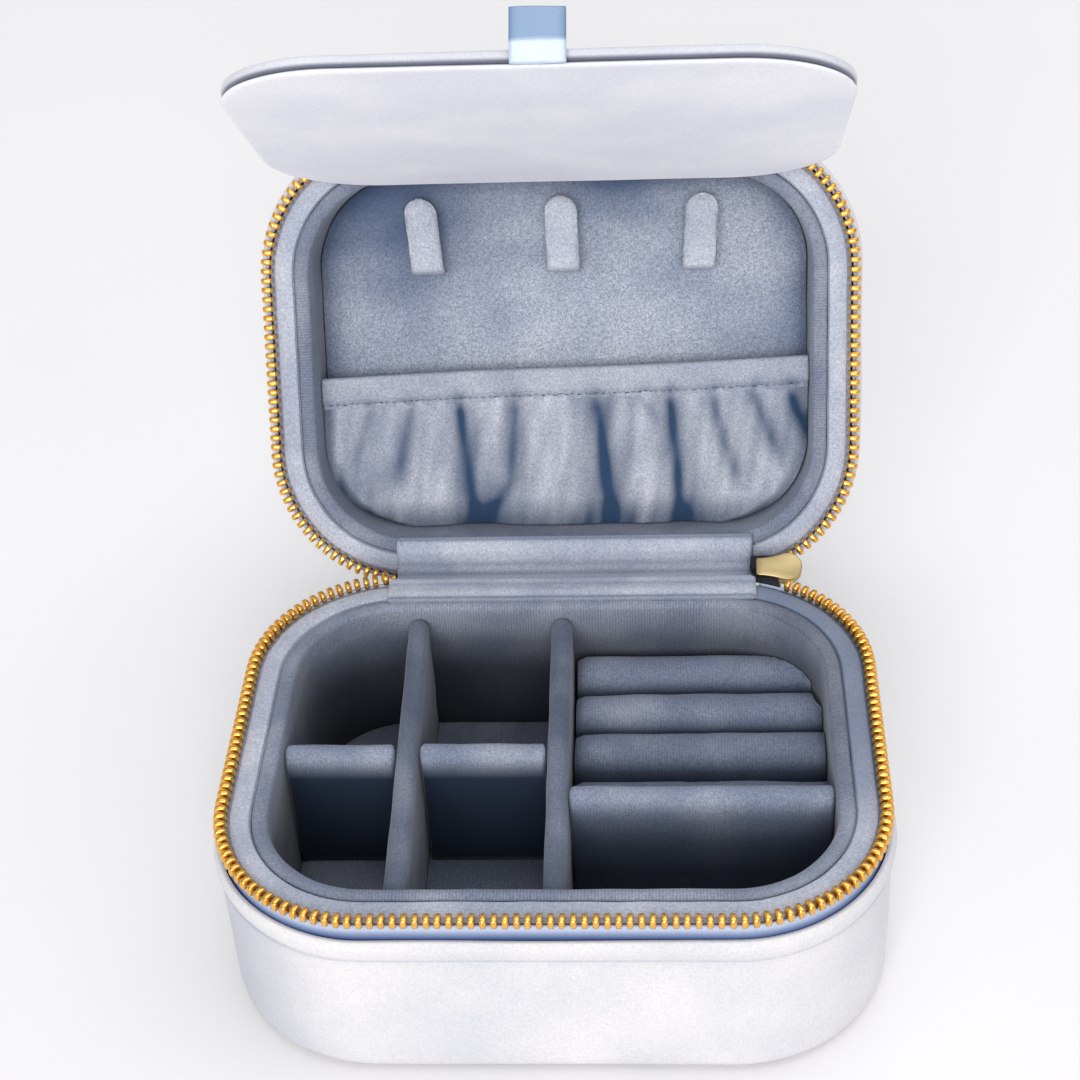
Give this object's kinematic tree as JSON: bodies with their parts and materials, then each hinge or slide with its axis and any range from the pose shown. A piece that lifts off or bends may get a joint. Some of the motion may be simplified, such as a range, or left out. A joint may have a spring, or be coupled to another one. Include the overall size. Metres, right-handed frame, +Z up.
{
  "type": "travel jewelry case",
  "caption": "Zip-around velvet travel jewelry case, open, with divided base, ring rolls, necklace hooks, gathered lid pocket and raised inner flap.",
  "frame": {"origin": "middle of the case's underside, on the surface that it stands on", "axes": "+Z up, +X to the right of the person facing the open case, +Y towards the hinge at the back"},
  "size_m": [0.1648, 0.2145, 0.2231],
  "materials": {
    "outer_velvet": "short-pile velvet, pale blue-grey",
    "rim_velvet": "short-pile velvet, blue-grey",
    "lining_velvet": "ribbed short-pile velvet, blue-grey",
    "flap_velvet": "short-pile velvet, pale blue-grey",
    "board": "pressed grey board, plain",
    "zip_tape": "woven polyester tape, light blue",
    "gold_metal": "polished gold-coloured metal",
    "mirror": "silvered glass",
    "satin": "satin ribbon, pale blue",
    "elastic": "woven elastic, white"
  },
  "bodies": {
    "base": {"base_cover": "outer_velvet", "base_core": "board", "base_edge_binding": "outer_velvet", "base_rim_band": "rim_velvet", "base_lining": "rim_velvet", "base_floor_pad": "lining_velvet", "base_zip_tape": "zip_tape", "base_zip_teeth": "gold_metal", "base_zip_stop": "gold_metal", "main_divider": "lining_velvet", "cross_divider_right": "lining_velvet", "ring_roll_1": "lining_velvet", "ring_roll_2": "lining_velvet", "ring_roll_3": "lining_velvet", "ring_roll_4": "lining_velvet"},
    "hinge": {"inner_hinge_strip": "rim_velvet", "outer_hinge_strip": "outer_velvet", "zip_slider": "gold_metal"},
    "lid": {"lid_cover": "outer_velvet", "lid_core": "board", "lid_edge_binding": "outer_velvet", "lid_rim_band": "rim_velvet", "lid_lining": "rim_velvet", "lid_back_panel": "lining_velvet", "lid_zip_tape": "zip_tape", "lid_zip_teeth": "gold_metal", "lid_zip_stop": "gold_metal", "necklace_hook_1": "lining_velvet", "necklace_hook_2": "lining_velvet", "necklace_hook_3": "lining_velvet", "lid_pocket": "lining_velvet", "pocket_elastic": "elastic", "flap_hinge_strip": "rim_velvet"},
    "flap": {"flap_board": "flap_velvet", "flap_mirror": "mirror", "flap_pad": "flap_velvet", "ribbon_pull": "satin"},
    "pull_tab": {"pull_tab": "gold_metal"},
    "left_divider": {"left_divider": "lining_velvet"},
    "cross_divider_left": {"cross_divider_left": "lining_velvet"},
    "cross_divider_middle": {"cross_divider_middle": "lining_velvet"}
  },
  "joints": [
    {"name": "hinge_lower_fold", "type": "hinge", "parent": "base", "child": "hinge", "pos_m": [0, 0.0634, 0.0429], "axis": [-1, 0, 0], "range_deg": [-57.17, 0]},
    {"name": "hinge_upper_fold", "type": "hinge", "parent": "hinge", "child": "lid", "pos_m": [0, 0.0634, 0.0429], "axis": [-1, 0, 0], "range_deg": [-57.17, 0], "deforming": ["inner_hinge_strip", "outer_hinge_strip"]},
    {"name": "flap_hinge", "type": "hinge", "parent": "lid", "child": "flap", "pos_m": [0, 0.1185, 0.14573], "axis": [-1, 0, 0], "range_deg": [-108, 45], "deforming": ["flap_hinge_strip", "ribbon_pull"]},
    {"name": "pull_tab_swing", "type": "hinge", "parent": "hinge", "child": "pull_tab", "pos_m": [0.0594, 0.07026, 0.04487], "axis": [0, -0.8403, -0.5421], "range_deg": [0, 80]},
    {"name": "left_divider_lift", "type": "slide", "parent": "base", "child": "left_divider", "axis": [0, 0, 1], "range_m": [0, 0.045]},
    {"name": "cross_divider_left_lift", "type": "slide", "parent": "base", "child": "cross_divider_left", "axis": [0, 0, 1], "range_m": [0, 0.045]},
    {"name": "cross_divider_middle_lift", "type": "slide", "parent": "base", "child": "cross_divider_middle", "axis": [0, 0, 1], "range_m": [0, 0.045]}
  ]
}
